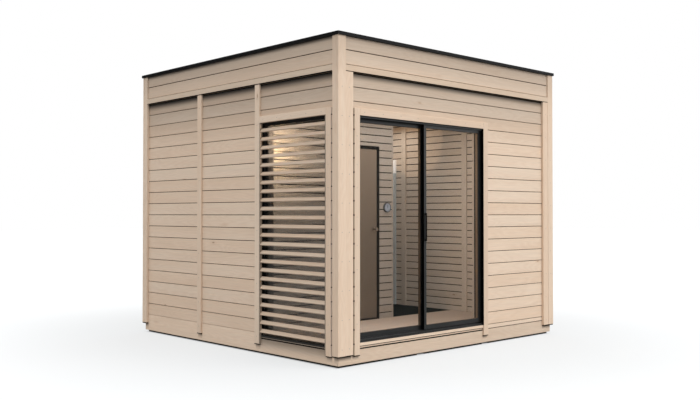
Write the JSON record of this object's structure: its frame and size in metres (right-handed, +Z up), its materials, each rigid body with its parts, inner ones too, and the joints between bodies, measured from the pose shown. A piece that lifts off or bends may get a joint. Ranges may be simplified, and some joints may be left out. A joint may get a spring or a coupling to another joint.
{
  "type": "outdoor sauna cabin",
  "caption": "Square timber sauna cabin with a flat roof, a glazed sliding front door, a louvre screen over a side window and an inner sauna room with its own door.",
  "frame": {"origin": "on the ground, at the middle of the cabin's plan", "axes": "+Z up, the sliding door faces -Y, the louvre screen faces -X"},
  "size_m": [3.384, 3.424, 3],
  "materials": {
    "spruce": "whitened, matt",
    "inner_spruce": "oiled, matt",
    "framing": "sawn",
    "wind_sheet": "matt",
    "floor_planks": "planed",
    "dark_floor": "matt",
    "black_packer": "matt",
    "roof_sheet": "matt",
    "roof_edge": "satin",
    "anthracite": "powder coated",
    "black_metal": "powder coated",
    "clear_glass": "clear",
    "grey_glass": "clear",
    "bronze_glass": "tinted",
    "knob_metal": "brushed",
    "dial_face": "satin",
    "column_metal": "satin",
    "white_plastic": "gloss"
  },
  "bodies": {
    "root": {"base_rails": "black_packer", "base_boards": "spruce", "floor_frame": "framing", "floor_boards": "floor_planks", "wet_floor": "dark_floor", "front_wall_left": "wind_sheet", "front_wall_right": "wind_sheet", "front_wall_over_door": "wind_sheet", "left_wall_front": "wind_sheet", "left_wall_over_louvre": "wind_sheet", "left_wall_rear": "wind_sheet", "right_wall": "wind_sheet", "back_wall": "wind_sheet", "front_cladding": "spruce", "left_cladding": "spruce", "right_cladding": "spruce", "back_cladding": "spruce", "wall_lining": "inner_spruce", "corner_posts": "spruce", "wall_battens": "spruce", "inner_battens": "inner_spruce", "drip_boards": "spruce", "fascia_boards": "spruce", "ceiling": "inner_spruce", "roof_deck": "framing", "roof_membrane": "roof_sheet", "roof_cap": "roof_edge", "door_trims": "spruce", "door_sill": "spruce", "door_frame": "anthracite", "fixed_leaf_frame": "anthracite", "fixed_leaf_glass": "clear_glass", "louvre_trims": "spruce", "louvre_rails": "spruce", "louvre_slats": "spruce", "louvre_window_frame": "black_metal", "louvre_window_glass": "grey_glass", "partition_left": "inner_spruce", "partition_right": "inner_spruce", "partition_over_door": "inner_spruce", "sauna_return_wall": "inner_spruce", "sauna_door_frame": "black_metal", "wall_dial": "dial_face", "shower_column": "column_metal", "column_head": "white_plastic"},
    "sliding_leaf": {"sliding_leaf_frame": "anthracite", "sliding_leaf_glass": "clear_glass", "sliding_leaf_handle": "black_metal"},
    "sauna_door": {"sauna_door_leaf": "bronze_glass", "sauna_door_hinges": "black_metal", "sauna_door_knob": "knob_metal"}
  },
  "joints": [
    {"name": "sliding_door", "type": "slide", "parent": "root", "child": "sliding_leaf", "axis": [-1, 0, 0], "range_m": [0, 0.905]},
    {"name": "sauna_door_hinge", "type": "hinge", "parent": "root", "child": "sauna_door", "pos_m": [-0.49, -0.321, 1.17], "axis": [0, 0, -1], "range_deg": [0, 95]}
  ]
}
